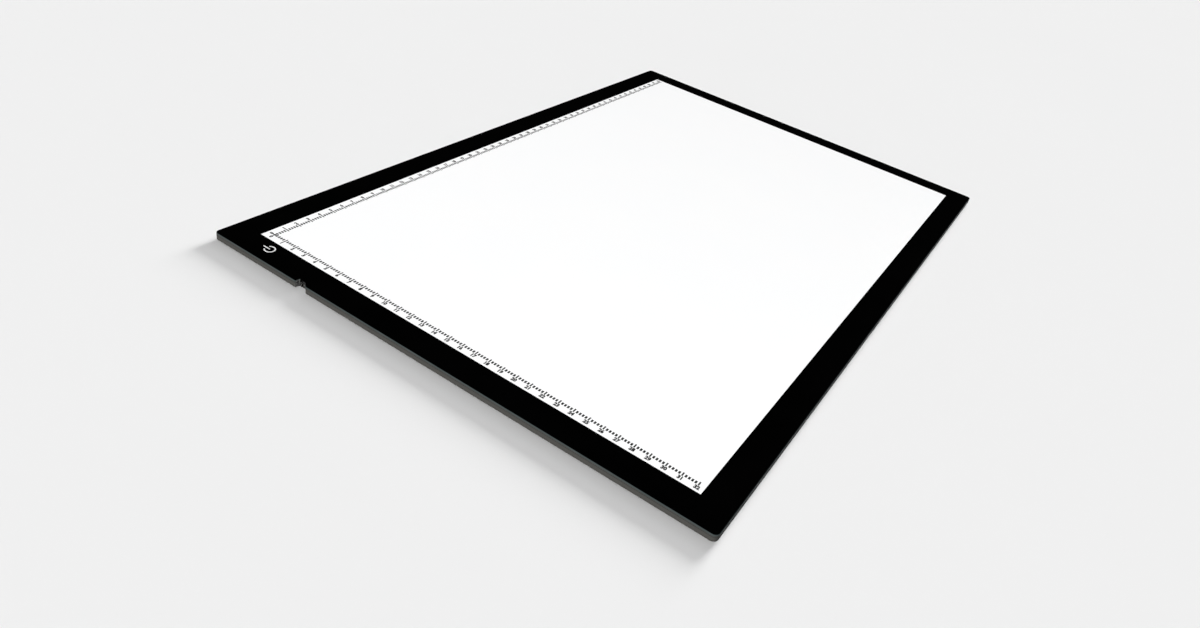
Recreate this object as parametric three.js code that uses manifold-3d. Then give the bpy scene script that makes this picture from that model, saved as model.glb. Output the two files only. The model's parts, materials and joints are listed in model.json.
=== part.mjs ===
// A slim edge-lit light box (tracing pad) of the A2 class, in millimetres.
//
// The origin is the centre of the plane that its rubber feet stand on. +X runs along the long
// side, the way the long ruler counts; +Y points to the long edge that carries that ruler; +Z is
// up. "Rear" is +Y, "front" is -Y, "right" is +X and "left" is -X, the side with the plug notch.
//
// From the top down: clear front panel, black border film, tape, diffuser film, light guide plate,
// reflector sheet, back cover, feet. The light rows stand against the guide's two long edges, and
// the control board lies in the left border.
import * as THREE from 'three';
import { mergeVertices } from 'three/addons/utils/BufferGeometryUtils.js';
import Module from 'manifold-3d';

const wasm = await Module();
wasm.setup();

// ---- Driving dimensions ----

const LENGTH = 570;
const WIDTH = 370;
const CORNER_R = 3.5;
const BORDER = 20; // outer edge to lit window

// Heights, counted up from the table.
const COVER_Z = 1.0; // the feet hold the cover this far up
const FLOOR_T = 1.3;
const FLOOR_Z = COVER_Z + FLOOR_T;
const TOP_Z = 6.5;
const PANEL_T = 1.5;
const PANEL_Z = TOP_Z - PANEL_T;
const BORDER_FILM_T = 0.1;
const TAPE_T = 0.1;
const RAIL_TOP_Z = PANEL_Z - BORDER_FILM_T - TAPE_T;
const RIM_Z = PANEL_Z - BORDER_FILM_T - 0.05; // top of the cover's wall, below the film

const WALL_T = 2.0;
const INNER_LENGTH = LENGTH - 2 * WALL_T;
const INNER_WIDTH = WIDTH - 2 * WALL_T;
const EDGE_CHAMFER = 0.8; // along the cover's lower edge
const SLACK = 0.2; // room between a loose piece and what holds it

// Optical stack: each sheet reaches this far under the black border.
const STACK_OVERLAP = 4;
const STACK_LENGTH = LENGTH - 2 * (BORDER - STACK_OVERLAP);
const STACK_WIDTH = WIDTH - 2 * (BORDER - STACK_OVERLAP);
const SHEET_GAP = 0.03;
const REFLECTOR_T = 0.25;
const GUIDE_T = 2.0;
const DIFFUSER_T = 0.24;

// Light rows.
const LED_COUNT = 60;
const ROW_LENGTH = LENGTH - 2 * BORDER;
const LED = { length: 3.0, depth: 0.7, height: 1.6 };
const LED_AIR = 0.25; // lamp face to guide edge
const ROW_BOARD_T = 0.6;
const ROW_HEIGHT = 2.4;
const THERMAL_TAPE_T = 0.15;
const CHANNEL = { wall: 1.0, height: 2.45, foot: 3.0, footT: 0.8 };

// Plug notch in the left edge: one square side, one side cut at 45 degrees.
const NOTCH = { squareY: 110.2, backY: 104.8, depth: 3.2, mouthR: 0.8, innerR: 0.4, wall: 1.6 };
const NOTCH_BACK_X = -LENGTH / 2 + NOTCH.depth;

// Power jack, a small coaxial one behind the notch.
const JACK = { y: 107.5, width: 4.6, length: 9.0, z: 1.65, height: 3.2, boreR: 1.15, boreDepth: 7.0 };
const SLEEVE = { seatR: 1.45, length: 1.2, sides: 16 };
const JACK_PIN_R = 0.3;
const JACK_POCKET_Z = 1.6;

// Control board.
const BOARD = { x0: -282.4, x1: -270.4, y0: 64, y1: 156, t: 0.8 };
const INSULATOR_T = 0.1;
const BOARD_Z = FLOOR_Z + INSULATOR_T;
const BOARD_TOP_Z = BOARD_Z + BOARD.t;
const TOUCH = { x: -272.75, y: 147.5, coilR: 1.9, wireR: 0.18, turns: 3, stepsPerTurn: 10 };
const CONNECTOR = { x: -272.95, width: 4.0, length: 3.2, height: 1.5, inset: 1.0 };
const LEAD = { r: 0.4, x: -272, socketX: [-273.7, -272.2], rowZ: [3.0, 4.2], bend: 5, endGap: 0.3 };

// Rails between the cover's wall and the stack.
const RAIL_INNER_Y = 175.0;
const RAIL_END_X = 279;
const LEFT_RAIL_INNER_X = -274.9;
const LEFT_RAIL_GAP = { y0: 61, y1: 160 }; // the board's bay

// Fasteners and feet.
const SCREW = { headR: 1.8, headT: 0.6, shaftR: 0.95, length: 2.6, sink: 0.15, sides: 12 };
const COVER_SCREWS = [
  [-255, 179], [-85, 179], [85, 179], [255, 179],
  [-255, -179], [-85, -179], [85, -179], [255, -179],
  [-279, -40], [276, 0],
];
const BOARD_SCREWS = [[-280, 118.5], [-280, 94.5]];
const BOARD_SCREW = { headR: 1.3, headT: 0.55, shaftR: 0.7, length: 1.7, sides: 12 };
const FOOT = { r: 6, height: 1.2, flatR: 5.0, sides: 24, recessSlack: 0.3 };
const FOOT_X = 245;
const FOOT_Y = 150;
const LABEL = { length: 70, width: 36, t: 0.1, x: 150, y: -40 };

// ---- Materials ----

const FINISH = {
  clearAcrylic: { color: 0x9aa2a6, roughness: 0.05, metalness: 0, transparent: true, opacity: 0.12 },
  blackFilm: { color: 0x050505, roughness: 0.4, metalness: 0 },
  coverPlastic: { color: 0x3a3a39, roughness: 0.5, metalness: 0 },
  litFilm: { color: 0xffffff, roughness: 0.7, metalness: 0, emissive: 0xffffff },
  guideAcrylic: { color: 0xeaf4f4, roughness: 0.1, metalness: 0 },
  reflector: { color: 0xf4f4f2, roughness: 0.6, metalness: 0 },
  rowBoard: { color: 0xf0efe6, roughness: 0.5, metalness: 0 },
  aluminium: { color: 0xc9cbcd, roughness: 0.35, metalness: 1 },
  railPlastic: { color: 0x202022, roughness: 0.6, metalness: 0 },
  tape: { color: 0xd8d3c2, roughness: 0.7, metalness: 0 },
  circuitBoard: { color: 0x12502b, roughness: 0.4, metalness: 0 },
  insulator: { color: 0x2a2a2c, roughness: 0.3, metalness: 0 },
  chip: { color: 0x161617, roughness: 0.55, metalness: 0 },
  ferrite: { color: 0x3b3c40, roughness: 0.7, metalness: 0 },
  ceramic: { color: 0xb79a6c, roughness: 0.4, metalness: 0 },
  connector: { color: 0xe9e4d2, roughness: 0.5, metalness: 0 },
  nickel: { color: 0xc7c5bf, roughness: 0.25, metalness: 1 },
  steel: { color: 0x2c2c2e, roughness: 0.35, metalness: 1 },
  redLead: { color: 0xb0161a, roughness: 0.45, metalness: 0 },
  blackLead: { color: 0x141414, roughness: 0.45, metalness: 0 },
  rubber: { color: 0x1b1b1c, roughness: 0.85, metalness: 0 },
  label: { color: 0xdedede, roughness: 0.5, metalness: 0 },
};

// ---- Building helpers ----

const lightBox = new THREE.Group();

function group() {
  const child = new THREE.Group();
  lightBox.add(child);
  return child;
}

const housing = group();
const lightStack = group();
const electronics = group();

function addPart(parent, name, geometry, finish, position = [0, 0, 0], turn = 0) {
  const mesh = new THREE.Mesh(geometry, new THREE.MeshStandardMaterial(FINISH[finish]));
  mesh.name = name;
  mesh.position.set(...position);
  mesh.rotation.z = turn;
  parent.add(mesh);
}

// A box with its lowest corner at (x, y, z).
function boxAt(x, y, z, dx, dy, dz) {
  return new THREE.BoxGeometry(dx, dy, dz).translate(x + dx / 2, y + dy / 2, z + dz / 2);
}

// A box centred on the Z axis, standing on z = 0.
function block(length, width, height) {
  return boxAt(-length / 2, -width / 2, 0, length, width, height);
}

// An upright cylinder standing on z.
function cylinder(radius, height, sides, z = 0) {
  return new THREE.CylinderGeometry(radius, radius, height, sides)
    .rotateX(Math.PI / 2)
    .translate(0, 0, z + height / 2);
}

// A flat shape raised from z = 0.
function slab(shape, height, curveSegments = 6) {
  return new THREE.ExtrudeGeometry(shape, { depth: height, bevelEnabled: false, curveSegments });
}

// A body of revolution about Z from [radius, height] pairs.
function turned(profile, sides) {
  const points = profile.map(([radius, height]) => new THREE.Vector2(radius, height));
  return new THREE.LatheGeometry(points, sides).rotateX(Math.PI / 2);
}

function polygon(points) {
  return new THREE.Shape(points.map(([x, y]) => new THREE.Vector2(x, y)));
}

function roundedRect(length, width, radius) {
  const x = length / 2 - radius;
  const y = width / 2 - radius;
  const shape = new THREE.Shape();
  shape.absarc(x, -y, radius, -Math.PI / 2, 0);
  shape.absarc(x, y, radius, 0, Math.PI / 2);
  shape.absarc(-x, y, radius, Math.PI / 2, Math.PI);
  shape.absarc(-x, -y, radius, Math.PI, 1.5 * Math.PI);
  shape.closePath();
  return shape;
}

function roundHole(x, y, radius) {
  const hole = new THREE.Path();
  hole.absarc(x, y, radius, 0, 2 * Math.PI, true);
  return hole;
}

function toSolid(geometry) {
  const bare = geometry.clone();
  bare.deleteAttribute('normal');
  bare.deleteAttribute('uv');
  const merged = mergeVertices(bare, 1e-4);
  const index = merged.index.array;
  const triVerts = [];
  for (let i = 0; i < index.length; i += 3) {
    const [a, b, c] = index.slice(i, i + 3);
    if (a !== b && b !== c && c !== a) triVerts.push(a, b, c);
  }
  return new wasm.Manifold(new wasm.Mesh({
    numProp: 3,
    vertProperties: new Float32Array(merged.attributes.position.array),
    triVerts: new Uint32Array(triVerts),
  }));
}

function toGeometry(solid) {
  const mesh = solid.getMesh();
  const geometry = new THREE.BufferGeometry();
  geometry.setAttribute('position', new THREE.BufferAttribute(mesh.vertProperties, 3));
  geometry.setIndex(new THREE.BufferAttribute(mesh.triVerts, 1));
  geometry.computeVertexNormals();
  return geometry;
}

function cut(geometry, ...tools) {
  return toGeometry(tools.reduce((body, tool) => body.subtract(toSolid(tool)), toSolid(geometry)));
}

function join(...geometries) {
  return toGeometry(geometries.map(toSolid).reduce((body, other) => body.add(other)));
}

// ---- Plug notch ----

// Outline of the cut-out in the left edge, widened all round by grow.
function notchOutline(grow = 0) {
  const edgeX = -LENGTH / 2;
  const backX = NOTCH_BACK_X + grow;
  const squareY = NOTCH.squareY + grow;
  const slantGrow = grow * Math.tan(Math.PI / 8); // keeps the 45 degree side parallel
  const backY = NOTCH.backY - slantGrow;
  const mouthY = backY - (backX - edgeX);
  const { mouthR, innerR } = NOTCH;
  const diagonal = Math.SQRT1_2;
  const shape = new THREE.Shape();
  shape.moveTo(edgeX - 2, squareY + mouthR);
  shape.lineTo(edgeX, squareY + mouthR);
  shape.quadraticCurveTo(edgeX, squareY, edgeX + mouthR, squareY);
  shape.lineTo(backX - innerR, squareY);
  shape.quadraticCurveTo(backX, squareY, backX, squareY - innerR);
  shape.lineTo(backX, backY + innerR);
  shape.quadraticCurveTo(backX, backY, backX - innerR * diagonal, backY - innerR * diagonal);
  shape.lineTo(edgeX + mouthR * diagonal, mouthY + mouthR * diagonal);
  shape.quadraticCurveTo(edgeX, mouthY, edgeX, mouthY - mouthR);
  shape.lineTo(edgeX - 2, mouthY - mouthR);
  shape.closePath();
  return shape;
}

function notchTool(height, z, grow = 0) {
  return slab(notchOutline(grow), height, 4).translate(0, 0, z);
}

// ---- Housing ----

function frontPanel() {
  return cut(slab(roundedRect(LENGTH, WIDTH, CORNER_R), PANEL_T), notchTool(PANEL_T + 2, -1));
}

function borderFilm() {
  const inset = 0.3;
  const outline = roundedRect(LENGTH - 2 * inset, WIDTH - 2 * inset, CORNER_R - inset);
  const x = LENGTH / 2 - BORDER;
  const y = WIDTH / 2 - BORDER;
  outline.holes.push(new THREE.Path([
    new THREE.Vector2(-x, -y), new THREE.Vector2(-x, y),
    new THREE.Vector2(x, y), new THREE.Vector2(x, -y),
  ]));
  return cut(slab(outline, BORDER_FILM_T), notchTool(BORDER_FILM_T + 2, -1, inset));
}

// The cover's outside: a rounded block with a chamfer along its lower edge.
function coverBlock() {
  const height = RIM_Z - COVER_Z;
  const geometry = new THREE.ExtrudeGeometry(roundedRect(LENGTH, WIDTH, CORNER_R), {
    depth: height,
    bevelThickness: EDGE_CHAMFER,
    bevelSize: EDGE_CHAMFER,
    bevelOffset: -EDGE_CHAMFER,
    bevelSegments: 1,
    curveSegments: 6,
  }).translate(0, 0, COVER_Z + EDGE_CHAMFER);
  return cut(geometry, boxAt(-LENGTH, -WIDTH, RIM_Z, 2 * LENGTH, 2 * WIDTH, 2 * height));
}

// The cover's inside, which leaves a wall around the plug notch.
function coverCavity() {
  const inner = roundedRect(INNER_LENGTH, INNER_WIDTH, CORNER_R - WALL_T);
  const depth = TOP_Z - FLOOR_Z;
  return cut(slab(inner, depth).translate(0, 0, FLOOR_Z), notchTool(depth + 2, FLOOR_Z - 1, NOTCH.wall));
}

function coverScrewTools() {
  const headTop = COVER_Z + SCREW.sink + SCREW.headT;
  return COVER_SCREWS.flatMap(([x, y]) => [
    cylinder(SCREW.headR + SLACK, headTop, SCREW.sides).translate(x, y, 0),
    cylinder(SCREW.shaftR + SLACK, TOP_Z, SCREW.sides).translate(x, y, 0),
  ]);
}

function boardScrewTools() {
  const depth = BOARD_SCREW.length - BOARD.t - INSULATOR_T + SLACK;
  return BOARD_SCREWS.map(([x, y]) => (
    cylinder(BOARD_SCREW.shaftR + SLACK, TOP_Z, BOARD_SCREW.sides, FLOOR_Z - depth).translate(x, y, 0)
  ));
}

function footPlaces() {
  const places = [];
  for (const y of [FOOT_Y, -FOOT_Y]) {
    for (const x of [-FOOT_X, 0, FOOT_X]) places.push([x, y]);
  }
  return places;
}

function footRecessTools() {
  const recessTop = FOOT.height + SHEET_GAP;
  return footPlaces().map(([x, y]) => (
    cylinder(FOOT.r + FOOT.recessSlack, recessTop, FOOT.sides).translate(x, y, 0)
  ));
}

function jackTools() {
  const width = JACK.width + 0.3;
  const aperture = boxAt(NOTCH_BACK_X - 0.3, JACK.y - width / 2, JACK_POCKET_Z, 3, width, TOP_Z);
  const pocketLength = JACK.length + 1.5;
  const pocket = boxAt(NOTCH_BACK_X + 1, JACK.y - width / 2, JACK_POCKET_Z, pocketLength, width, TOP_Z);
  return [aperture, pocket];
}

function backCover() {
  return cut(
    coverBlock(),
    coverCavity(),
    notchTool(TOP_Z + 2, -1),
    ...jackTools(),
    ...coverScrewTools(),
    ...boardScrewTools(),
    ...footRecessTools(),
  );
}

// A self-tapping screw, head down on z = 0, with a cross cut in the head and a blunt tip.
function screwBody({ headR, headT, shaftR, length, sides }) {
  const body = turned([
    [0, 0], [headR, 0], [headR, headT], [shaftR, headT],
    [shaftR, headT + length - 0.5], [shaftR * 0.4, headT + length], [0, headT + length],
  ], sides);
  const slotLength = headR * 1.1;
  const slotWidth = headR * 0.25;
  const slotDepth = headT * 0.6;
  return cut(
    body,
    block(slotLength, slotWidth, 2 * slotDepth).translate(0, 0, -slotDepth),
    block(slotWidth, slotLength, 2 * slotDepth).translate(0, 0, -slotDepth),
  );
}

function footBody() {
  return turned([
    [0, 0], [FOOT.flatR, 0], [FOOT.r, 0.6], [FOOT.r, FOOT.height], [0, FOOT.height],
  ], FOOT.sides);
}

function addHousing() {
  addPart(housing, 'front_panel', frontPanel(), 'clearAcrylic', [0, 0, PANEL_Z]);
  addPart(housing, 'border_film', borderFilm(), 'blackFilm', [0, 0, PANEL_Z - BORDER_FILM_T]);
  addPart(housing, 'back_cover', backCover(), 'coverPlastic');
  COVER_SCREWS.forEach(([x, y], i) => {
    addPart(housing, `cover_screw_${i + 1}`, screwBody(SCREW), 'steel', [x, y, COVER_Z + SCREW.sink]);
  });
  footPlaces().forEach(([x, y], i) => {
    addPart(housing, `rubber_foot_${i + 1}`, footBody(), 'rubber', [x, y, 0]);
  });
  const label = slab(roundedRect(LABEL.length, LABEL.width, 2), LABEL.t, 3);
  addPart(housing, 'blank_label', label, 'label', [LABEL.x, LABEL.y, COVER_Z - LABEL.t]);
}

// ---- Rails and panel tape ----

// A rail between two corners, drilled for the cover screws that fall inside it.
function rail(x0, y0, x1, y1) {
  const outline = polygon([[x0, y0], [x1, y0], [x1, y1], [x0, y1]]);
  for (const [x, y] of COVER_SCREWS) {
    const inside = x > x0 && x < x1 && y > y0 && y < y1;
    if (inside) outline.holes.push(roundHole(x, y, SCREW.shaftR + SLACK));
  }
  return slab(outline, RAIL_TOP_Z - FLOOR_Z);
}

function tapeStrip(x0, y0, x1, y1) {
  return boxAt(x0, y0, 0, x1 - x0, y1 - y0, TAPE_T);
}

function addRails() {
  const outerX = INNER_LENGTH / 2 - SLACK;
  const outerY = INNER_WIDTH / 2 - SLACK;
  const sideEndY = RAIL_INNER_Y - SLACK;
  const rightInnerX = STACK_LENGTH / 2 + 0.6;
  const rails = {
    rail_rear: [-RAIL_END_X, RAIL_INNER_Y, RAIL_END_X, outerY],
    rail_front: [-RAIL_END_X, -outerY, RAIL_END_X, -RAIL_INNER_Y],
    rail_right: [rightInnerX, -sideEndY, outerX, sideEndY],
    rail_left_lower: [-outerX, -sideEndY, LEFT_RAIL_INNER_X, LEFT_RAIL_GAP.y0],
    rail_left_upper: [-outerX, LEFT_RAIL_GAP.y1, LEFT_RAIL_INNER_X, sideEndY],
  };
  const inset = 0.8;
  for (const [name, [x0, y0, x1, y1]] of Object.entries(rails)) {
    addPart(housing, name, rail(x0, y0, x1, y1), 'railPlastic', [0, 0, FLOOR_Z]);
    const tape = tapeStrip(x0 + inset, y0 + inset, x1 - inset, y1 - inset);
    const tapeName = name.replace('rail', 'panel_tape');
    if (name !== 'rail_left_upper') addPart(housing, tapeName, tape, 'tape', [0, 0, RAIL_TOP_Z]);
  }
}

// ---- Optical stack ----

function addStack() {
  const reflectorZ = FLOOR_Z + SHEET_GAP;
  const guideZ = reflectorZ + REFLECTOR_T + SHEET_GAP;
  const diffuserZ = guideZ + GUIDE_T + SHEET_GAP;
  const sheets = [
    ['reflector_sheet', REFLECTOR_T, reflectorZ, 'reflector'],
    ['light_guide_plate', GUIDE_T, guideZ, 'guideAcrylic'],
    ['diffuser_film', DIFFUSER_T, diffuserZ, 'litFilm'],
  ];
  for (const [name, thickness, z, finish] of sheets) {
    addPart(lightStack, name, block(STACK_LENGTH, STACK_WIDTH, thickness), finish, [0, 0, z]);
  }
}

// ---- Light rows ----

// The row's board with its lamps soldered on, lamps facing -Y; y = 0 is the lamps' front.
function lightRow() {
  const sunk = 0.1; // each lamp is joined into the board by this much
  const pitch = ROW_LENGTH / LED_COUNT;
  const lampZ = (ROW_HEIGHT - LED.height) / 2;
  const parts = [boxAt(-ROW_LENGTH / 2, LED.depth, 0, ROW_LENGTH, ROW_BOARD_T, ROW_HEIGHT)];
  for (let i = 0; i < LED_COUNT; i += 1) {
    const x = (i + 0.5) * pitch - ROW_LENGTH / 2 - LED.length / 2;
    parts.push(boxAt(x, 0, lampZ, LED.length, LED.depth + sunk, LED.height));
  }
  return join(...parts);
}

// An aluminium angle along X: a wall that the row is taped to and a foot that points outwards.
function heatChannel() {
  const { wall, height, foot, footT } = CHANNEL;
  const section = polygon([
    [0, 0], [wall + foot, 0], [wall + foot, footT], [wall, footT], [wall, height], [0, height],
  ]);
  const toX = new THREE.Matrix4().makeBasis(
    new THREE.Vector3(0, 1, 0),
    new THREE.Vector3(0, 0, 1),
    new THREE.Vector3(1, 0, 0),
  );
  return slab(section, ROW_LENGTH).applyMatrix4(toX).translate(-ROW_LENGTH / 2, 0, 0);
}

function addLightRows() {
  const lampY = STACK_WIDTH / 2 + LED_AIR;
  const tapeY = lampY + LED.depth + ROW_BOARD_T;
  const channelY = tapeY + THERMAL_TAPE_T;
  const rowZ = FLOOR_Z + 0.05;
  const tape = () => boxAt(-ROW_LENGTH / 2, tapeY, rowZ, ROW_LENGTH, THERMAL_TAPE_T, ROW_HEIGHT);
  for (const [side, turn] of [['rear', 0], ['front', Math.PI]]) {
    const row = lightRow().translate(0, lampY, rowZ);
    addPart(lightStack, `led_row_${side}`, row, 'rowBoard', [0, 0, 0], turn);
    addPart(lightStack, `thermal_tape_${side}`, tape(), 'tape', [0, 0, 0], turn);
    const channel = heatChannel().translate(0, channelY, FLOOR_Z);
    addPart(lightStack, `heat_channel_${side}`, channel, 'aluminium', [0, 0, 0], turn);
  }
}

// ---- Control board ----

// Board outline: a strip with a bay cut in its outer edge for the notch's wall and the jack.
function boardOutline(inset = 0) {
  const wallX = NOTCH_BACK_X + NOTCH.wall + 0.4 + inset;
  const wallY0 = 98;
  const wallY1 = 113;
  const jackX = NOTCH_BACK_X + JACK.length + 0.3 + inset;
  const jackY0 = JACK.y - JACK.width / 2 - 0.3;
  const jackY1 = JACK.y + JACK.width / 2 + 0.3;
  const { x0, x1, y0, y1 } = BOARD;
  const outline = polygon([
    [x0 + inset, y0 + inset], [x1 - inset, y0 + inset], [x1 - inset, y1 - inset], [x0 + inset, y1 - inset],
    [x0 + inset, wallY1], [wallX, wallY1], [wallX, jackY1], [jackX, jackY1],
    [jackX, jackY0], [wallX, jackY0], [wallX, wallY0], [x0 + inset, wallY0],
  ]);
  for (const [x, y] of BOARD_SCREWS) outline.holes.push(roundHole(x, y, BOARD_SCREW.shaftR + SLACK));
  return outline;
}

// A chip: its body with a row of legs down each of its two long sides, lying on z = 0.
function chip(length, width, height, legs) {
  const parts = [block(width, length, height - 0.1).translate(0, 0, 0.1)];
  const pitch = length / legs;
  const reach = 0.8;
  for (let i = 0; i < legs; i += 1) {
    const y = (i + 0.5) * pitch - length / 2;
    parts.push(block(width + 2 * reach, pitch * 0.4, 0.2).translate(0, y, 0));
  }
  return join(...parts);
}

// A shielded choke: a square block with its corners cut off.
function choke(size, height) {
  const half = size / 2;
  const corner = size * 0.2;
  return slab(polygon([
    [-half + corner, -half], [half - corner, -half], [half, -half + corner], [half, half - corner],
    [half - corner, half], [-half + corner, half], [-half, half - corner], [-half, -half + corner],
  ]), height);
}

// Jack body along +X from its front face at x = 0, with its bore and a seat for the sleeve.
function jackBody() {
  const axisZ = JACK.height / 2;
  const intoX = (tool, x) => tool.rotateY(Math.PI / 2).translate(x, 0, axisZ);
  return cut(
    boxAt(0, -JACK.width / 2, 0, JACK.length, JACK.width, JACK.height),
    intoX(cylinder(SLEEVE.seatR, SLEEVE.length + 1, SLEEVE.sides), -1),
    intoX(cylinder(JACK.boreR, JACK.boreDepth + 1, SLEEVE.sides), -1),
  );
}

// The nickel sleeve round the jack's mouth, a turned ring along +X.
function jackSleeve() {
  const inner = JACK.boreR;
  const outer = SLEEVE.seatR - 0.05;
  const length = SLEEVE.length - 0.05;
  const profile = [[inner, 0], [outer, 0], [outer, length], [inner, length], [inner, 0]];
  return turned(profile, SLEEVE.sides).rotateY(Math.PI / 2);
}

// The jack's centre pin, from the bore's end towards its mouth.
function jackPin() {
  const length = JACK.boreDepth - 1.2;
  return turned([
    [0, 0], [JACK_PIN_R * 0.6, 0], [JACK_PIN_R, 0.3], [JACK_PIN_R, length], [0, length],
  ], 12).rotateY(Math.PI / 2);
}

class CoilCurve extends THREE.Curve {
  constructor(radius, height, turns) {
    super();
    Object.assign(this, { radius, height, turns });
  }

  getPoint(t, target = new THREE.Vector3()) {
    const angle = 2 * Math.PI * this.turns * t;
    return target.set(this.radius * Math.cos(angle), this.radius * Math.sin(angle), this.height * t);
  }
}

// A round section with a few flat sides, for wire.
function wireSection(radius, sides) {
  const points = [];
  for (let i = 0; i < sides; i += 1) {
    const angle = (2 * Math.PI * i) / sides;
    points.push([radius * Math.cos(angle), radius * Math.sin(angle)]);
  }
  return polygon(points);
}

function wire(curve, radius, sides, steps) {
  return new THREE.ExtrudeGeometry(wireSection(radius, sides), { steps, extrudePath: curve });
}

function touchSpring() {
  const height = PANEL_Z - BORDER_FILM_T - BOARD_TOP_Z;
  const margin = TOUCH.wireR + 0.08;
  const coil = new CoilCurve(TOUCH.coilR, height - 2 * margin, TOUCH.turns);
  return wire(coil, TOUCH.wireR, 5, TOUCH.stepsPerTurn * TOUCH.turns).translate(0, 0, margin);
}

// A path that takes its points at equal steps of t, so that a tube along it has one ring at each.
class PointPath extends THREE.Curve {
  constructor(points) {
    super();
    this.points = points;
  }

  getUtoTmapping(u) {
    return u;
  }

  getPoint(t, target = new THREE.Vector3()) {
    const last = this.points.length - 1;
    const i = Math.min(Math.floor(t * last), last - 1);
    return target.lerpVectors(this.points[i], this.points[i + 1], t * last - i);
  }
}

// A lead from the board's connector to the end of a light row, round the guide's corner.
// side is +1 for the rear row and -1 for the front row, level 0 or 1 is its place in the pair.
function rowLead(side, level) {
  const endY = side > 0 ? BOARD.y1 : BOARD.y0;
  const socketX = LEAD.socketX[level];
  const socketZ = BOARD_TOP_Z + CONNECTOR.height / 2;
  const rowY = side * (STACK_WIDTH / 2 + LED_AIR + LED.depth + ROW_BOARD_T / 2);
  const rowZ = LEAD.rowZ[level];
  const point = (x, y, z) => new THREE.Vector3(x, y, z);
  const offBoard = new THREE.CubicBezierCurve3(
    point(socketX, endY + side * 1, socketZ),
    point(socketX, endY + side * 5, socketZ),
    point(LEAD.x, endY + side * 5, rowZ),
    point(LEAD.x, endY + side * 9, rowZ),
  );
  const roundCorner = new THREE.QuadraticBezierCurve3(
    point(LEAD.x, rowY - side * LEAD.bend, rowZ),
    point(LEAD.x, rowY, rowZ),
    point(LEAD.x + LEAD.bend, rowY, rowZ),
  );
  const points = [
    point(socketX, endY - side * (CONNECTOR.inset - LEAD.endGap), socketZ),
    ...offBoard.getPoints(6),
    ...roundCorner.getPoints(5),
    point(-ROW_LENGTH / 2 - LEAD.endGap, rowY, rowZ),
  ];
  return wire(new PointPath(points), LEAD.r, 8, points.length - 1);
}

function addBoard() {
  const insulator = slab(boardOutline(), INSULATOR_T);
  addPart(electronics, 'board_insulator', insulator, 'insulator', [0, 0, FLOOR_Z]);
  const board = slab(boardOutline(), BOARD.t);
  addPart(electronics, 'control_board', board, 'circuitBoard', [0, 0, BOARD_Z]);
  BOARD_SCREWS.forEach(([x, y], i) => {
    const screw = screwBody(BOARD_SCREW).rotateX(Math.PI);
    const headZ = BOARD_TOP_Z + BOARD_SCREW.headT;
    addPart(electronics, `board_screw_${i + 1}`, screw, 'steel', [x, y, headZ]);
  });
}

function addBoardParts() {
  const on = (x, y) => [x, y, BOARD_TOP_Z];
  addPart(electronics, 'touch_controller', chip(5.0, 3.8, 1.3, 4), 'chip', on(-276.5, 138));
  addPart(electronics, 'led_driver', chip(4.0, 3.0, 1.1, 4), 'chip', on(-276.5, 89));
  addPart(electronics, 'power_transistor', chip(3.0, 1.7, 1.0, 2), 'chip', on(-275.5, 124));
  addPart(electronics, 'rectifier_diode', chip(2.6, 1.6, 1.0, 1), 'chip', on(-273.5, 98));
  addPart(electronics, 'choke', choke(5.6, 1.5), 'ferrite', on(-276.5, 80.5));
  addPart(electronics, 'input_capacitor', block(2.5, 3.2, 1.4), 'ceramic', on(-273.5, 116));
  addPart(electronics, 'output_capacitor', block(2.5, 3.2, 1.4), 'ceramic', on(-276.5, 72.5));
}

function addJack() {
  const front = [NOTCH_BACK_X, JACK.y, JACK.z];
  const axis = [NOTCH_BACK_X, JACK.y, JACK.z + JACK.height / 2];
  addPart(electronics, 'power_jack_body', jackBody(), 'chip', front);
  addPart(electronics, 'power_jack_sleeve', jackSleeve(), 'nickel', axis);
  const pinX = NOTCH_BACK_X + 1.2 - SHEET_GAP;
  addPart(electronics, 'power_jack_pin', jackPin(), 'nickel', [pinX, JACK.y, axis[2]]);
}

function addLeads() {
  addPart(electronics, 'touch_spring', touchSpring(), 'nickel', [TOUCH.x, TOUCH.y, BOARD_TOP_Z]);
  for (const [side, sign] of [['rear', 1], ['front', -1]]) {
    const endY = sign > 0 ? BOARD.y1 : BOARD.y0;
    const y = endY - sign * (CONNECTOR.inset + CONNECTOR.length / 2);
    const socket = block(CONNECTOR.width, CONNECTOR.length, CONNECTOR.height);
    addPart(electronics, `lead_connector_${side}`, socket, 'connector', [CONNECTOR.x, y, BOARD_TOP_Z]);
    ['minus', 'plus'].forEach((pole, level) => {
      const finish = level ? 'redLead' : 'blackLead';
      addPart(electronics, `row_lead_${side}_${pole}`, rowLead(sign, level), finish);
    });
  }
}

addHousing();
addRails();
addStack();
addLightRows();
addBoard();
addBoardParts();
addJack();
addLeads();

export default lightBox;
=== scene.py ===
import json
import math

import bmesh
import bpy
from mathutils import Matrix, Vector


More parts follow.
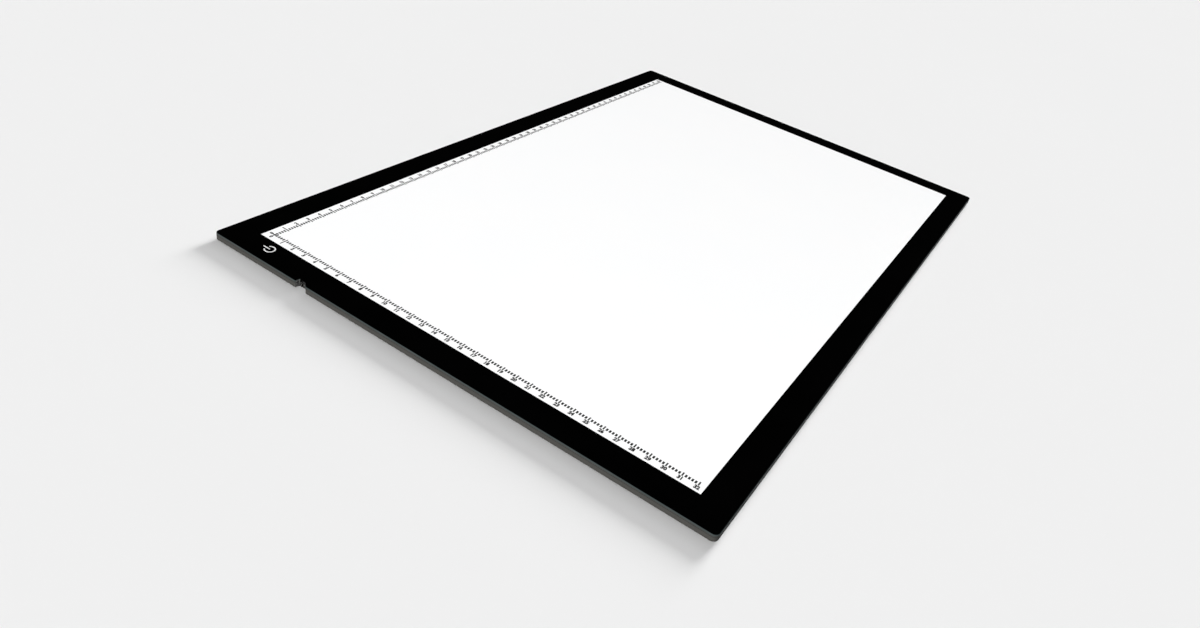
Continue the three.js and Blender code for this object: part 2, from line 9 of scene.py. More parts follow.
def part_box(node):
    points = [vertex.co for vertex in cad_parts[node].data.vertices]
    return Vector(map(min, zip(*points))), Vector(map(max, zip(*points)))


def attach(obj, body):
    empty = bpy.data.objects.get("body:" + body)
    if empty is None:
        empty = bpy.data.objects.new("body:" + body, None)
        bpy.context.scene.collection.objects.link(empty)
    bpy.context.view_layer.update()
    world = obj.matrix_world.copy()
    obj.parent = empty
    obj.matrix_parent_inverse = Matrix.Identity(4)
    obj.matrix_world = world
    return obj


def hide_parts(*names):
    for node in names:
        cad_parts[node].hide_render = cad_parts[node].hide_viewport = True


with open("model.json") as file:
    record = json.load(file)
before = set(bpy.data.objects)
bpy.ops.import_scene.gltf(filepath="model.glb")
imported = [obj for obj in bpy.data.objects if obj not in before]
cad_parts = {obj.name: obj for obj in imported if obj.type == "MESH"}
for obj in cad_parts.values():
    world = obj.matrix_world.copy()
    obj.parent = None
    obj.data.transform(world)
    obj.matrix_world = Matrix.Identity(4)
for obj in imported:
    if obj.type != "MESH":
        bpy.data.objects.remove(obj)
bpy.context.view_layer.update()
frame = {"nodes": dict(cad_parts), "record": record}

# A slim edge-lit light box: a clear panel, printed black round a lit white window with two
# rulers, on a dark moulded tray with rubber feet. The CAD frame holds the pieces' places and
# outer sizes. This script gives the visible pieces their fine shapes, adds the prints, and gives
# every piece its material.
#
# Rear is +Y, front is -Y, right is +X and left is -X, the side with the plug notch.

# ---- Measures, in metres, from the frame ----

MM = 0.001
BODY = "root"

PANEL_LOW, PANEL_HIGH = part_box("front_panel")
COVER_LOW, COVER_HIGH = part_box("back_cover")
HALF_LENGTH = PANEL_HIGH.x
HALF_WIDTH = PANEL_HIGH.y
FLOOR_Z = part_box("board_insulator")[0].z  # the tray's inside floor
LIT_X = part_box("led_row_rear")[1].x  # the light rows are as long as the window
BORDER = HALF_LENGTH - LIT_X
LIT_Y = HALF_WIDTH - BORDER
CORNER_R = 3.5 * MM
ARC_STEPS = 12

# Printed layers stand this far out of the clear panel, and end level with the CAD panel's top.
INK_T = 0.04 * MM
INK_SUNK = 0.01 * MM
PANEL_TOP = PANEL_HIGH.z - INK_T


def opening_box(name):
    """Lowest and highest corner of the free space that the record gives for an opening."""
    found = next(o for o in frame["record"]["physics"]["openings"] if o["name"] == name)
    return [Vector(corner) for corner in found["box_m"]]


# Plug notch: a square side at +Y, a side cut at 45 degrees at -Y.
NOTCH_ROOM = 0.3 * MM  # free space to the notch's walls
NOTCH_LOW, NOTCH_HIGH = opening_box("plug_notch")
NOTCH_SQUARE_Y = NOTCH_HIGH.y + NOTCH_ROOM
NOTCH_BACK_Y = NOTCH_LOW.y - NOTCH_ROOM
NOTCH_BACK_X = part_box("power_jack_body")[0].x
NOTCH_MOUTH_EASE = 0.8 * MM  # how far along the edge each corner's arc reaches
NOTCH_INNER_EASE = 0.4 * MM
NOTCH_WALL = 1.6 * MM
WALL_T = 2 * MM
SEAM_EASE = 0.15 * MM  # panel and tray are eased by this much where they meet
ON_PLANE = 0.05 * MM  # a face's middle this near to a plane is on it

# ---- Outlines ----


def eased(x, y, reach, turn=math.pi / 2):
    """A corner (point, radius) whose arc starts reach before the point; turn is its bend."""
    return Vector((x, y)), reach / math.tan(turn / 2)


def plan_corners(notch_grow=0.0):
    """The housing's plan, counter-clockwise, as (point, radius) corners."""
    slant = math.pi / 4
    back_x = NOTCH_BACK_X + notch_grow
    back_y = NOTCH_BACK_Y - notch_grow * math.tan(slant / 2)
    mouth_y = back_y - (back_x + HALF_LENGTH)
    return [
        (Vector((-HALF_LENGTH, -HALF_WIDTH)), CORNER_R),
        (Vector((HALF_LENGTH, -HALF_WIDTH)), CORNER_R),
        (Vector((HALF_LENGTH, HALF_WIDTH)), CORNER_R),
        (Vector((-HALF_LENGTH, HALF_WIDTH)), CORNER_R),
        eased(-HALF_LENGTH, NOTCH_SQUARE_Y + notch_grow, NOTCH_MOUTH_EASE),
        eased(back_x, NOTCH_SQUARE_Y + notch_grow, NOTCH_INNER_EASE),
        eased(back_x, back_y, NOTCH_INNER_EASE, slant),
        eased(-HALF_LENGTH, mouth_y, NOTCH_MOUTH_EASE, slant),
    ]


def walk(corners):
    """Each corner with the directions that lead to it and away from it, and its signed turn."""
    for i, (point, radius) in enumerate(corners):
        before = (point - corners[i - 1][0]).normalized()
        after = (corners[(i + 1) % len(corners)][0] - point).normalized()
        turn = math.atan2(before.x * after.y - before.y * after.x, before.dot(after))
        yield point, radius, before, after, turn


def left_of(direction):
    return Vector((-direction.y, direction.x))


def drawn_in(corners, inset):
    """The same outline with each edge moved inwards by inset."""
    least = 0.05 * MM
    moved = []
    for point, radius, before, after, turn in walk(corners):
        inwards = left_of(before) + left_of(after)
        shift = inwards * (inset / (1 + left_of(before).dot(left_of(after))))
        moved.append((point + shift, max(radius - math.copysign(inset, turn), least)))
    return moved


def rounded(corners, steps=ARC_STEPS):
    """The outline's points, with each corner as an arc."""
    points = []
    for point, radius, before, _, turn in walk(corners):
        start = point - before * radius * math.tan(abs(turn) / 2)
        centre = start + left_of(before) * math.copysign(radius, turn)
        for k in range(steps + 1):
            points.append(centre + Matrix.Rotation(turn * k / steps, 2) @ (start - centre))
    return points


def quarter_round(radius, steps):
    """(inset, drop) pairs from an upright wall over onto a flat top, for an edge of that radius."""
    for k in range(steps + 1):
        angle = math.pi / 2 * k / steps
        yield radius * (1 - math.cos(angle)), radius * (1 - math.sin(angle))


# ---- Mesh building ----

SHARP_ANGLE = math.radians(35)  # edges that bend more than this stay hard


def add_ring(bm, points, z):
    return [bm.verts.new((p[0], p[1], z)) for p in points]


def bridge(bm, rings, material=0):
    """Faces between each ring and the next, shaded smooth."""
    for lower, upper in zip(rings, rings[1:]):
        for i in range(len(lower)):
            j = (i + 1) % len(lower)
            face = bm.faces.new((lower[i], lower[j], upper[j], upper[i]))
            face.smooth = True
            face.material_index = material


def fill(bm, *rings, material=0):
    """A flat face inside the first ring, round the others."""
    edges = []
    for ring in rings:
        for i, vert in enumerate(ring):
            pair = (ring[i - 1], vert)
            edges.append(bm.edges.get(pair) or bm.edges.new(pair))
    made = bmesh.ops.triangle_fill(bm, edges=edges, use_beauty=True)["geom"]
    for item in made:
        if isinstance(item, bmesh.types.BMFace):
            item.material_index = material


def block(bm, low, high):
    """A closed box between two corners."""
    rings = []
    for z in (low[2], high[2]):
        plan = [(low[0], low[1]), (high[0], low[1]), (high[0], high[1]), (low[0], high[1])]
        rings.append(add_ring(bm, plan, z))
    for i in range(4):
        j = (i + 1) % 4
        bm.faces.new((rings[0][i], rings[0][j], rings[1][j], rings[1][i]))
    bm.faces.new(rings[1])
    bm.faces.new(rings[0][::-1])


def turned(bm, profile, sides, centre=(0.0, 0.0)):
    """A body turned about an upright axis. The profile's (radius, height) pairs run from axis to
    axis, or round a loop if they start and end off it."""
    solid = profile[0][0] == 0
    stations = profile[1:-1] if solid else profile
    rings = []
    for radius, height in stations:
        points = [
            (centre[0] + radius * math.cos(2 * math.pi * k / sides),
             centre[1] + radius * math.sin(2 * math.pi * k / sides))
            for k in range(sides)
        ]
        rings.append(add_ring(bm, points, height))
    if not solid:
        rings.append(rings[0])
    bridge(bm, rings)
    if solid:
        for ring in (rings[0], rings[-1]):
            bm.faces.new(ring)


def to_mesh(bm, name):
    """Ends the building of a mesh: faces point outwards and hard edges are marked."""
    bmesh.ops.recalc_face_normals(bm, faces=bm.faces)
    mesh = bpy.data.meshes.new(name)
    bm.to_mesh(mesh)
    bm.free()
    mesh.set_sharp_from_angle(angle=SHARP_ANGLE)
    return mesh


def evaluated_mesh(obj):
    depsgraph = bpy.context.evaluated_depsgraph_get()
    return bpy.data.meshes.new_from_object(obj.evaluated_get(depsgraph))


def carved(body, cutter):
    """The mesh body with the mesh cutter's volume taken away."""
    holder = bpy.data.objects.new("carving", body)
    tool = bpy.data.objects.new("carving_tool", cutter)
    for obj in (holder, tool):
        bpy.context.scene.collection.objects.link(obj)
    cut = holder.modifiers.new("cut", "BOOLEAN")
    cut.operation = "DIFFERENCE"
    cut.solver = "EXACT"
    cut.object = tool
    bpy.context.view_layer.update()
    mesh = evaluated_mesh(holder)
    for obj in (holder, tool):
        bpy.data.objects.remove(obj)
    mesh.set_sharp_from_angle(angle=SHARP_ANGLE)
    return mesh


def add_piece(name, mesh, materials, replaced=(), location=(0, 0, 0)):
    """Puts a mesh into the scene as a piece of the object."""
    for material in materials:
        mesh.materials.append(material)
    piece = bpy.data.objects.new(name, mesh)
    piece.location = location
    bpy.context.scene.collection.objects.link(piece)
    if replaced:
        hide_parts(*replaced)
    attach(piece, BODY)
    return piece


def weight_normals(piece):
    """Keeps large flat faces flat where they meet small rounded edges."""
    modifier = piece.modifiers.new("weighted_normals", "WEIGHTED_NORMAL")
    modifier.keep_sharp = True


# ---- Materials ----

NOISE_SPAN = (0.3, 0.7)  # where most of a noise's values lie
ACRYLIC_IOR = 1.49


class Finish:
    """A Principled material with its patterns laid out along a piece's own axes, in metres."""

    def __init__(self, name, **sockets):
        self.material = bpy.data.materials.new(name)
        self.material.use_nodes = True
        self.tree = self.material.node_tree
        self.shader = next(n for n in self.tree.nodes if n.type == "BSDF_PRINCIPLED")
        self.place = self.tree.nodes.new("ShaderNodeTexCoord").outputs["Object"]
        for socket, value in sockets.items():
            self.shader.inputs[socket.replace("_", " ")].default_value = value

    def noise(self, size, detail=3.0, stretch=(1, 1, 1)):
        """A 0 to 1 noise whose features are about size metres across."""
        mapping = self.tree.nodes.new("ShaderNodeMapping")
        mapping.inputs["Scale"].default_value = [1 / (size * s) for s in stretch]
        self.tree.links.new(self.place, mapping.inputs["Vector"])
        noise = self.tree.nodes.new("ShaderNodeTexNoise")
        noise.inputs["Scale"].default_value = 1.0
        noise.inputs["Detail"].default_value = detail
        self.tree.links.new(mapping.outputs["Vector"], noise.inputs["Vector"])
        return noise.outputs["Fac"]

    def between(self, factor, low, high):
        """Maps the middle of a noise's range onto low to high."""
        ramp = self.tree.nodes.new("ShaderNodeMapRange")
        ramp.inputs["From Min"].default_value = NOISE_SPAN[0]
        ramp.inputs["From Max"].default_value = NOISE_SPAN[1]
        ramp.inputs["To Min"].default_value = low
        ramp.inputs["To Max"].default_value = high
        self.tree.links.new(factor, ramp.inputs["Value"])
        return ramp.outputs["Result"]

    def colour(self, factor, low, high, socket="Base Color"):
        """Runs a socket's colour from low to high by a pattern."""
        ramp = self.tree.nodes.new("ShaderNodeValToRGB")
        for element, position, colour in zip(ramp.color_ramp.elements, NOISE_SPAN, (low, high)):
            element.position = position
            element.color = (*colour, 1)
        self.tree.links.new(factor, ramp.inputs["Fac"])
        self.tree.links.new(ramp.outputs["Color"], self.shader.inputs[socket])
        return self

    def roughness(self, factor, low, high):
        self.tree.links.new(self.between(factor, low, high), self.shader.inputs["Roughness"])
        return self

    def bump(self, factor, height):
        """Raises the surface by up to height metres."""
        bump = self.tree.nodes.new("ShaderNodeBump")
        bump.inputs["Distance"].default_value = height
        self.tree.links.new(factor, bump.inputs["Height"])
        self.tree.links.new(bump.outputs["Normal"], self.shader.inputs["Normal"])
        return self


def mottled(name, dark, light, blotch, rough, grain, height, **sockets):
    """A finish with slow colour and roughness drift, and a fine grain of that height."""
    finish = Finish(name, **sockets)
    rough_blotch = 0.6 * blotch
    finish.colour(finish.noise(blotch), dark, light)
    finish.roughness(finish.noise(rough_blotch), *rough)
    return finish.bump(finish.noise(grain), height).material


def grey(level, tint=(1, 1, 1)):
    return tuple(level * t for t in tint)


def border_gloss():
    """Polished clear plastic over black print, with the faintest smear of handling."""
    finish = Finish("black_border_gloss", IOR=ACRYLIC_IOR)
    finish.colour(finish.noise(30 * MM), grey(0.0002), grey(0.0005))
    finish.roughness(finish.noise(25 * MM, detail=5), 0.06, 0.11)
    return finish.material


def lit_window():
    """The same clear plastic where the light comes through its white film."""
    finish = Finish(
        "lit_window", IOR=ACRYLIC_IOR, Base_Color=(*grey(0.45), 1), Emission_Strength=0.55
    )
    finish.colour(finish.noise(60 * MM), (0.985, 0.992, 1.0), (1.0, 1.0, 1.0), "Emission Color")
    finish.roughness(finish.noise(25 * MM, detail=5), 0.10, 0.16)
    return finish.material


def panel_edge():
    """The panel's cut edge, which shows the dark print through clear plastic."""
    return mottled(
        "clear_panel_edge", (0.023, 0.025, 0.0235), (0.029, 0.030, 0.029), 8 * MM,
        (0.25, 0.4), 0.3 * MM, 0.004 * MM, Specular_IOR_Level=0.01,
    )


def panel_lip():
    """The panel's rounded top edge: the clear plastic's own bluish tint, lighter than the side as a
    painted highlight.
    """
    return mottled(
        # lighter and bluer than the panel's side: painted highlight over the plastic's tint
        "clear_panel_lip", (0.024, 0.031, 0.031), (0.031, 0.038, 0.038), 8 * MM,
        (0.15, 0.3), 0.3 * MM, 0.004 * MM, Specular_IOR_Level=0.03,
    )


def tray_plastic():
    """Dark grey plastic from a spark-eroded mould."""
    finish = Finish("tray_plastic", Specular_IOR_Level=0.01)
    warm = (1, 0.98, 0.91)
    grain = finish.noise(0.35 * MM, detail=4)
    finish.colour(grain, grey(0.026, warm), grey(0.033, warm))
    finish.roughness(finish.noise(6 * MM), 0.5, 0.65)
    return finish.bump(grain, 0.03 * MM).material


def milled_cut():
    """The notch's square side, through panel and tray, with fine cutter lines; paler than the tray
    as painted light, standing in for light falling on that face.
    """
    finish = Finish("milled_cut", Specular_IOR_Level=0.1)
    lines = finish.noise(0.25 * MM, stretch=(1, 1, 20))  # upright lines
    # paler grey: painted light on the notch's square side
    finish.colour(lines, grey(0.13), grey(0.17, (1, 0.99, 0.95)))
    finish.roughness(lines, 0.55, 0.7)
    return finish.bump(lines, 0.01 * MM).material


def printed_ink(name, dark, light):
    return mottled(name, dark, light, 3 * MM, (0.35, 0.5), 0.2 * MM, 0.004 * MM)


def brushed_aluminium():
    finish = Finish("aluminium", Metallic=1.0)
    streaks = finish.noise(0.3 * MM, stretch=(60, 1, 1))  # drawn out along the channel
    finish.colour(streaks, grey(0.55), grey(0.66, (1, 1.01, 1.02)))
    finish.roughness(streaks, 0.28, 0.42)
    return finish.bump(streaks, 0.01 * MM).material


def circuit_board():
    """Green solder mask, a little lighter where it lies over copper tracks."""
    finish = Finish("circuit_board")
    tracks = finish.tree.nodes.new("ShaderNodeTexBrick")
    tracks.offset = 0.5
    tracks.inputs["Color1"].default_value = (1, 1, 1, 1)
    tracks.inputs["Color2"].default_value = (0.8, 0.8, 0.8, 1)
    tracks.inputs["Mortar"].default_value = (0, 0, 0, 1)
    tracks.inputs["Scale"].default_value = 1.0
    tracks.inputs["Brick Width"].default_value = 5 * MM
    tracks.inputs["Row Height"].default_value = 1.6 * MM
    tracks.inputs["Mortar Size"].default_value = 0.25 * MM
    finish.tree.links.new(finish.place, tracks.inputs["Vector"])
    finish.colour(tracks.outputs["Color"], (0.004, 0.07, 0.02), (0.012, 0.14, 0.045))
    finish.roughness(finish.noise(4 * MM), 0.25, 0.4)
    return finish.bump(tracks.outputs["Color"], 0.03 * MM).material


def light_guide():
    """Clear plastic with a printed field of fine white dots."""
    finish = Finish("light_guide", IOR=ACRYLIC_IOR)
    dot_pitch = 1.2 * MM
    dots = finish.tree.nodes.new("ShaderNodeTexVoronoi")
    dots.inputs["Scale"].default_value = 1 / dot_pitch
    dots.inputs["Randomness"].default_value = 0.0
    finish.tree.links.new(finish.place, dots.inputs["Vector"])
    finish.colour(dots.outputs["Distance"], (0.95, 0.97, 0.97), (0.72, 0.80, 0.80))
    finish.roughness(finish.noise(20 * MM), 0.06, 0.14)
    return finish.material


def lit_film():
    finish = Finish("lit_film", Emission_Strength=0.8)
    finish.colour(finish.noise(40 * MM), (0.86, 0.87, 0.88), (0.9, 0.9, 0.9))
    finish.colour(finish.noise(60 * MM), (0.98, 0.99, 1.0), (1.0, 1.0, 1.0), "Emission Color")
    finish.roughness(finish.noise(3 * MM), 0.6, 0.75)
    return finish.material


def slot_materials():
    """One material for each of the record's slots."""
    return {
        "clear_acrylic": panel_edge(),
        "black_film": mottled("black_film", grey(0.002), grey(0.005), 10 * MM,
                              (0.35, 0.5), 0.3 * MM, 0.005 * MM),
        "cover_plastic": tray_plastic(),
        "label": mottled("blank_label", grey(0.68), grey(0.71), 0.5 * MM,
                         (0.4, 0.5), 0.25 * MM, 0.008 * MM),
        "rail_plastic": mottled("rail_plastic", grey(0.012), grey(0.018), 8 * MM,
                                (0.55, 0.7), 0.5 * MM, 0.03 * MM),
        "tape": mottled("double_sided_tape", (0.62, 0.58, 0.49), (0.70, 0.66, 0.57), 5 * MM,
                        (0.6, 0.8), 0.4 * MM, 0.02 * MM),
        "reflector": mottled("reflector_sheet", (0.86, 0.86, 0.85), (0.90, 0.90, 0.89), 30 * MM,
                             (0.5, 0.65), 0.6 * MM, 0.01 * MM),
        "guide_acrylic": light_guide(),
        "lit_film": lit_film(),
        "row_board": mottled("lamp_row_board", (0.80, 0.79, 0.72), (0.88, 0.87, 0.82), 4 * MM,
                             (0.35, 0.55), 0.4 * MM, 0.01 * MM),
        "aluminium": brushed_aluminium(),
        "circuit_board": circuit_board(),
        "insulator": mottled("insulating_film", grey(0.02), grey(0.03), 12 * MM,
                             (0.2, 0.35), 0.8 * MM, 0.01 * MM),
        "steel": mottled("blackened_steel", grey(0.03), grey(0.055), 1.5 * MM,
                         (0.28, 0.45), 0.15 * MM, 0.006 * MM, Metallic=1.0),
        "chip": mottled("moulded_black_plastic", grey(0.008), grey(0.013), 2 * MM,
                        (0.45, 0.6), 0.12 * MM, 0.008 * MM),
        "ferrite": mottled("ferrite", grey(0.035), grey(0.055), 1.5 * MM,
                           (0.6, 0.8), 0.12 * MM, 0.02 * MM),
        "ceramic": mottled("ceramic", (0.42, 0.30, 0.14), (0.50, 0.37, 0.19), 1.5 * MM,
                           (0.35, 0.5), 0.1 * MM, 0.006 * MM),
        "nickel": mottled("nickel_plate", (0.55, 0.54, 0.50), (0.62, 0.61, 0.57), 1.0 * MM,
                          (0.18, 0.3), 0.1 * MM, 0.003 * MM, Metallic=1.0),
        "connector": mottled("connector_nylon", (0.78, 0.74, 0.62), (0.84, 0.80, 0.69), 2 * MM,
                             (0.4, 0.55), 0.15 * MM, 0.008 * MM),
        "black_lead": mottled("black_lead", grey(0.006), grey(0.011), 4 * MM,
                              (0.35, 0.5), 0.2 * MM, 0.006 * MM),
        "red_lead": mottled("red_lead", (0.38, 0.008, 0.010), (0.46, 0.014, 0.015), 4 * MM,
                            (0.35, 0.5), 0.2 * MM, 0.006 * MM),
        "rubber": mottled("foot_rubber", grey(0.010), grey(0.018), 4 * MM,
                          (0.75, 0.92), 0.3 * MM, 0.02 * MM),
    }


MATERIALS = slot_materials()
NOTCH_SIDE_PAINTED_LIGHT = milled_cut()

# ---- The plug notch's walls ----


def on_notch_back(middle):
    """Whether a wall face with that middle is in the notch's back or slanted side, which wear the
    black print and so show painted shade in the recess.
    """
    deep = middle.x > -HALF_LENGTH + NOTCH_MOUTH_EASE
    reach = NOTCH_SQUARE_Y - NOTCH_BACK_Y - NOTCH_INNER_EASE
    return deep and abs(middle.y - NOTCH_BACK_Y) < reach


def on_notch_side(middle):
    """Whether a wall face with that middle is in the notch's square side."""
    return middle.x < NOTCH_BACK_X and abs(middle.y - NOTCH_SQUARE_Y) < ON_PLANE


# ---- Front panel ----


def front_panel():
    """The clear panel: the print under it shows as a black border round the lit window."""
    edge_round = 0.35 * MM
    round_steps = 3
    side, lip, border, window, cut = range(5)  # places in the list of materials
    materials = [MATERIALS["clear_acrylic"], panel_lip(), border_gloss(), lit_window(), NOTCH_SIDE_PAINTED_LIGHT]
    corners = plan_corners()
    stations = [(SEAM_EASE, PANEL_LOW.z), (0.0, PANEL_LOW.z + SEAM_EASE)]
    upright_end = len(stations)
    for inset, drop in quarter_round(edge_round, round_steps):
        stations.append((inset, PANEL_TOP - drop))
    bm = bmesh.new()
    rings = [add_ring(bm, rounded(drawn_in(corners, inset)), z) for inset, z in stations]
    bridge(bm, rings[:upright_end + 1], side)
    bridge(bm, rings[upright_end:], lip)
    for face in bm.faces:
        middle = face.calc_center_median()
        if on_notch_back(middle):
            # the black print carried into the notch, near black there as painted shade in the
            # recess
            face.material_index = border
        elif on_notch_side(middle):
            # the notch's square side takes the paler painted light
            face.material_index = cut
    lit_plan = [(-LIT_X, -LIT_Y), (LIT_X, -LIT_Y), (LIT_X, LIT_Y), (-LIT_X, LIT_Y)]
    lit_ring = add_ring(bm, lit_plan, PANEL_TOP)
    fill(bm, rings[-1], lit_ring, material=border)
    bm.faces.new(lit_ring).material_index = window
    fill(bm, rings[0], material=border)
    mesh = to_mesh(bm, "printed_panel")
    weight_normals(add_piece("printed_panel", mesh, materials, ["front_panel"]))


# ---- Prints on the panel ----

RULER_START = 6 * MM  # from the window's corner to a ruler's zero
RULER_CM = {"long": 52, "short": 32}
CM = 10 * MM
STEPS_PER_CM = 5
# A tick is a pair of distances from the window's edge, and a width.
SMALL_TICK = (5.1 * MM, 7.2 * MM)
SMALL_TICK_W = 1.2 * MM
CM_TICK = (4.8 * MM, 7.9 * MM)
CM_TICK_W = 0.85 * MM
NUMBER_MIDDLE = 3.1 * MM  # from the window's edge to the middle of a number's height
DIGIT_HEIGHT = 2.6 * MM
DIGIT_BOLD = 0.22 * MM  # how far a digit's outline is grown
DIGIT_SQUEEZE = 0.9  # of a digit's width
CURVE_STEPS = 2  # more of them fold a bold digit's outline over itself
INK_BOX = (PANEL_TOP - INK_SUNK, PANEL_TOP + INK_T)
SAME_POINT = 0.0001 * MM  # vertices nearer than this are one


def number_mesh(text, size, thickness, bold):
    """A number as a thin solid round the origin, with its front, back and sides not yet joined."""
    curve = bpy.data.curves.new("number", "FONT")
    curve.body = text
    curve.size = size
    curve.align_x = "CENTER"
    curve.extrude = thickness / 2
    curve.offset = bold
    curve.resolution_u = CURVE_STEPS
    holder = bpy.data.objects.new("number", curve)
    bpy.context.scene.collection.objects.link(holder)
    mesh = evaluated_mesh(holder)
    bpy.data.objects.remove(holder)
    return mesh


def text_size_for(height):
    """The text size at which a zero is that tall, and how high its middle then is."""
    ys = [v.co.y for v in number_mesh("0", 1.0, 0.0, 0.0).vertices]
    size = height / (max(ys) - min(ys))
    return size, size * (max(ys) + min(ys)) / 2


def add_number(bm, text, size, rise, middle):
    """Adds a number of that text size to a ruler's mesh, centred on the point middle."""
    first = len(bm.verts)
    bm.from_mesh(number_mesh(text, size, INK_BOX[1] - INK_BOX[0], DIGIT_BOLD))
    bm.verts.ensure_lookup_table()
    shift = Vector((middle[0], middle[1] - rise, sum(INK_BOX) / 2))
    place = Matrix.Translation(shift) @ Matrix.Scale(DIGIT_SQUEEZE, 4, (1, 0, 0))
    bmesh.ops.transform(bm, matrix=place, verts=bm.verts[first:])


def close_numbers(bm):
    """Joins each number's faces into a closed solid, with no slivers in its flat ones."""
    bmesh.ops.remove_doubles(bm, verts=bm.verts, dist=SAME_POINT)
    level = set()
    for face in bm.faces:
        heights = [vert.co.z for vert in face.verts]
        if max(heights) - min(heights) < SAME_POINT:
            level.add(face)
    inner = [edge for edge in bm.edges if all(face in level for face in edge.link_faces)]
    bmesh.ops.beautify_fill(bm, faces=[face for face in bm.faces if face in level], edges=inner)


def ruler(name, length_cm, turn, inwards):
    """A printed ruler whose zero is near the window's rear left corner. It counts along its own
    +X, and inwards is +1 or -1, the side of its own Y on which the window lies."""
    bm = bmesh.new()
    for step in range(STEPS_PER_CM * length_cm + 1):
        whole = step % STEPS_PER_CM == 0
        near, far = sorted(inwards * reach for reach in (CM_TICK if whole else SMALL_TICK))
        half = (CM_TICK_W if whole else SMALL_TICK_W) / 2
        x = RULER_START + step * CM / STEPS_PER_CM
        block(bm, (x - half, near, INK_BOX[0]), (x + half, far, INK_BOX[1]))
    size, rise = text_size_for(DIGIT_HEIGHT)
    for number in range(length_cm + 1):
        middle = (RULER_START + number * CM, inwards * NUMBER_MIDDLE)
        add_number(bm, str(number), size, rise, middle)
    close_numbers(bm)
    place = Matrix.Translation((-LIT_X, LIT_Y, 0)) @ Matrix.Rotation(turn, 4, "Z")
    bmesh.ops.transform(bm, matrix=place, verts=bm.verts)
    add_piece(name, to_mesh(bm, name), [INK["dark"]])


def power_mark():
    """The touch key's printed mark: an open ring with a bar, over the touch spring."""
    outer, inner = 3.75 * MM, 2.9 * MM
    bar_width, bar_top = 0.85 * MM, 5.6 * MM
    bar_corner = 0.6  # its corners' radius, as a share of half its width
    gap = math.radians(36)  # of the ring, on each side of the bar
    ring_steps, corner_steps = 72, 4
    spring_low, spring_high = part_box("touch_spring")
    centre = (spring_low + spring_high) / 2
    low, high = INK_BOX
    section = [(inner, low), (outer, low), (outer, high), (inner, high)]
    bm = bmesh.new()
    stations = []
    for k in range(ring_steps + 1):
        angle = math.pi / 2 + gap + (2 * math.pi - 2 * gap) * k / ring_steps
        x, y = math.cos(angle), math.sin(angle)
        stations.append([bm.verts.new((centre.x + r * x, centre.y + r * y, z)) for r, z in section])
    bridge(bm, stations)
    for station in (stations[0], stations[-1]):
        bm.faces.new(station)
    half = bar_width / 2
    plan = [(-half, 0), (half, 0), (half, bar_top), (-half, bar_top)]
    corners = [(Vector((centre.x + x, centre.y + y)), half * bar_corner) for x, y in plan]
    rings = [add_ring(bm, rounded(corners, corner_steps), z) for z in INK_BOX]
    bridge(bm, rings)
    for ring in rings:
        bm.faces.new(ring)
    add_piece("power_mark", to_mesh(bm, "power_mark"), [INK["pale"]])


INK = {
    "dark": printed_ink("dark_ink", grey(0.004), grey(0.008)),
    "pale": printed_ink("pale_ink", grey(0.72), grey(0.80)),
}

# ---- Back cover ----

SCREWS = sorted(n for n in frame["nodes"] if n.startswith("cover_screw"))
BOARD_SCREWS = sorted(n for n in frame["nodes"] if n.startswith("board_screw"))
FEET = sorted(n for n in frame["nodes"] if n.startswith("rubber_foot"))
HEAD_T = 0.6 * MM
SHAFT_R = 0.95 * MM
BOARD_SHAFT_R = 0.7 * MM
PLAY = 0.2 * MM  # round a screw or its head
FOOT_PLAY = 0.3 * MM
FOOT_CEILING = 0.03 * MM  # from a foot's top to the ceiling of its pit
ROUND_SIDES = 48
FOOT_SIDES = 64


def middle_of(node):
    low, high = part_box(node)
    return (low + high) / 2


def pit(bm, node, steps, play=PLAY):
    """A stepped round pit in the cover's underside, wide enough for the node. The steps are
    (radius, height of its ceiling) pairs from the outside in; its mouth has an eased edge."""
    mouth = 0.15 * MM
    below = 1 * MM
    radius = steps[0][0] + play
    profile = [(0, COVER_LOW.z - below), (radius + mouth + below, COVER_LOW.z - below)]
    profile += [(radius, COVER_LOW.z + mouth)]
    for i, (step_radius, ceiling) in enumerate(steps):
        profile.append((step_radius + play, ceiling))
        if i + 1 < len(steps):
            profile.append((steps[i + 1][0] + play, ceiling))
    profile.append((0, steps[-1][1]))
    turned(bm, profile, ROUND_SIDES, middle_of(node).xy)


def tray_cutters():
    """Everything that is cut out of the tray: screw and foot pits, board screw holes, jack slot."""
    through = FLOOR_Z + 1 * MM
    bm = bmesh.new()
    for node in SCREWS:
        low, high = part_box(node)
        pit(bm, node, [((high.x - low.x) / 2, low.z + HEAD_T), (SHAFT_R, through)])
    for node in FEET:
        low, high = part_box(node)
        pit(bm, node, [((high.x - low.x) / 2, high.z + FOOT_CEILING)], play=FOOT_PLAY)
    for node in BOARD_SCREWS:
        hole_r = BOARD_SHAFT_R + PLAY
        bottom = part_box(node)[0].z - PLAY
        profile = [(0, bottom), (hole_r, bottom), (hole_r, through), (0, through)]
        turned(bm, profile, ROUND_SIDES, middle_of(node).xy)
    low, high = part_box("power_jack_body")
    front, side, end, under = 0.3 * MM, 0.15 * MM, 2.5 * MM, 0.05 * MM
    slot_low = (low.x - front, low.y - side, low.z - under)
    block(bm, slot_low, (high.x + end, high.y + side, through * 2))
    return to_mesh(bm, "tray_cutters")


